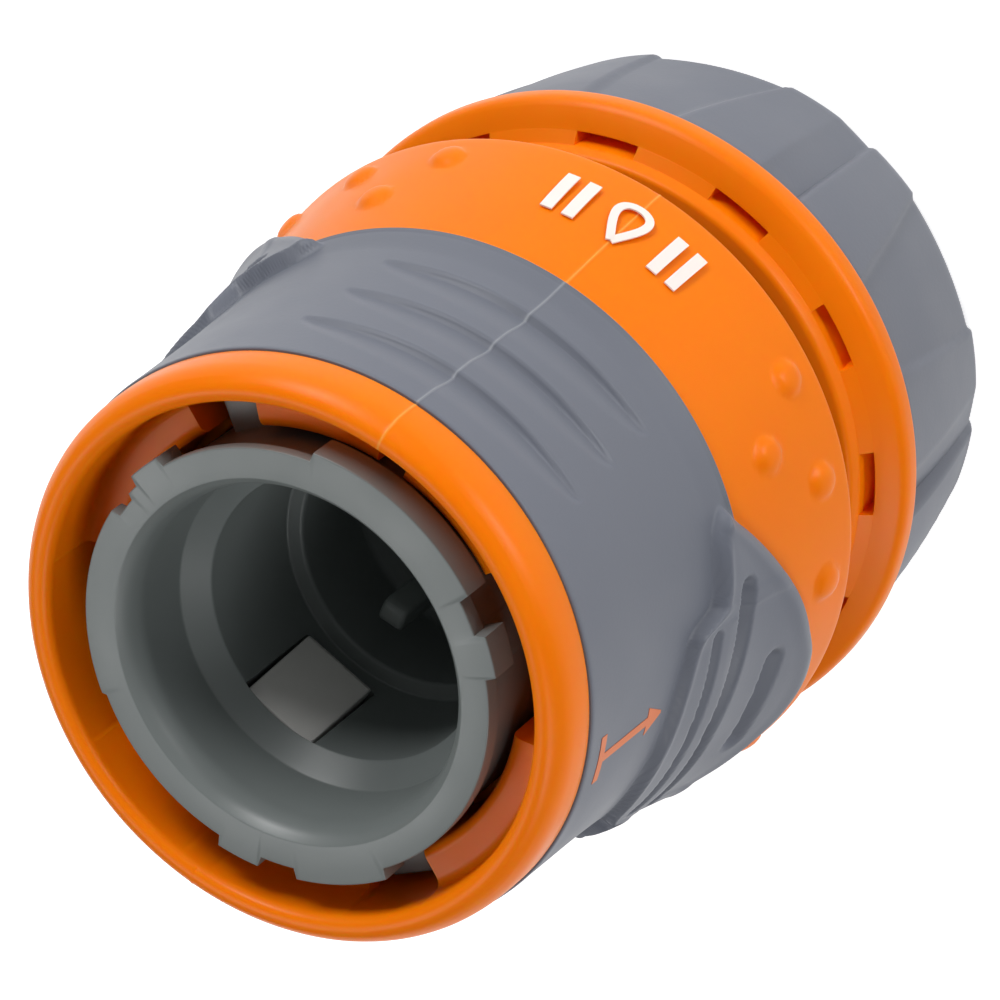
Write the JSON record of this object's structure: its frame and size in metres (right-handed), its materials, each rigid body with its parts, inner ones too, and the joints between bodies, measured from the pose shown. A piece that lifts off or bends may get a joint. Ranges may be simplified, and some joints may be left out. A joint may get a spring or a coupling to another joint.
{
  "type": "garden hose quick connector",
  "caption": "Click-on garden hose connector with a water stop: sliding release sleeve with soft grip, grey socket with two claws, and a threaded clamp nut for the hose.",
  "frame": {"origin": "bounding box bottom centre: on the axis, in the rear face of the clamp nut", "axes": "+Z along the axis towards the socket mouth; -Y is the side of the sleeve with the parting line, with the front claw 9 degrees beside it; the thumb pads are on -X and +X"},
  "size_m": [0.0428, 0.0426, 0.0553],
  "materials": {
    "grey_polypropylene": "satin moulded",
    "orange_abs": "satin moulded",
    "soft_grip_tpe": "matte soft touch",
    "pale_acetal": "satin moulded",
    "seal_rubber": "matte",
    "spring_wire": "drawn wire"
  },
  "bodies": {
    "body": {"socket_body": "grey_polypropylene", "hose_spigot": "grey_polypropylene", "body_seal": "seal_rubber", "sleeve_spring": "spring_wire", "valve_spring": "spring_wire"},
    "sleeve_body": {"sleeve": "orange_abs", "sleeve_grip": "soft_grip_tpe"},
    "claw_front_body": {"claw_front": "pale_acetal"},
    "claw_rear_body": {"claw_rear": "pale_acetal"},
    "piston": {"valve_piston": "pale_acetal", "valve_seal": "seal_rubber"},
    "collet": {"clamp_collet": "pale_acetal"},
    "nut": {"nut_core": "orange_abs", "nut_grip": "soft_grip_tpe"}
  },
  "joints": [
    {"name": "sleeve_slide", "type": "slide", "parent": "body", "child": "sleeve_body", "axis": [0, 0, -1], "range_m": [0, 0.0042], "stiffness_N_per_m": 1500, "springref_m": -0.003, "deforming": ["sleeve_spring"]},
    {"name": "claw_front_slide", "type": "slide", "parent": "body", "child": "claw_front_body", "axis": [-0.1564, -0.9877, 0], "range_m": [0, 0.0013]},
    {"name": "claw_rear_slide", "type": "slide", "parent": "body", "child": "claw_rear_body", "axis": [0.1564, 0.9877, 0], "range_m": [0, 0.0013]},
    {"name": "valve_slide", "type": "slide", "parent": "body", "child": "piston", "axis": [0, 0, -1], "range_m": [0, 0.004], "stiffness_N_per_m": 300, "springref_m": -0.004, "deforming": ["valve_spring"]},
    {"name": "nut_travel", "type": "slide", "parent": "body", "child": "collet", "axis": [0, 0, -1], "range_m": [0, 0.00639]},
    {"name": "nut_turn", "type": "hinge", "parent": "collet", "child": "nut", "pos_m": [0, 0, 0], "axis": [0, 0, -1], "range_deg": [0, 720]}
  ],
  "couplings": [
    {"joint": "claw_front_slide", "follows": "sleeve_slide", "ratio": 0.3095},
    {"joint": "claw_rear_slide", "follows": "sleeve_slide", "ratio": 0.3095},
    {"joint": "nut_turn", "follows": "nut_travel", "rad_per_m": 1963.5}
  ]
}
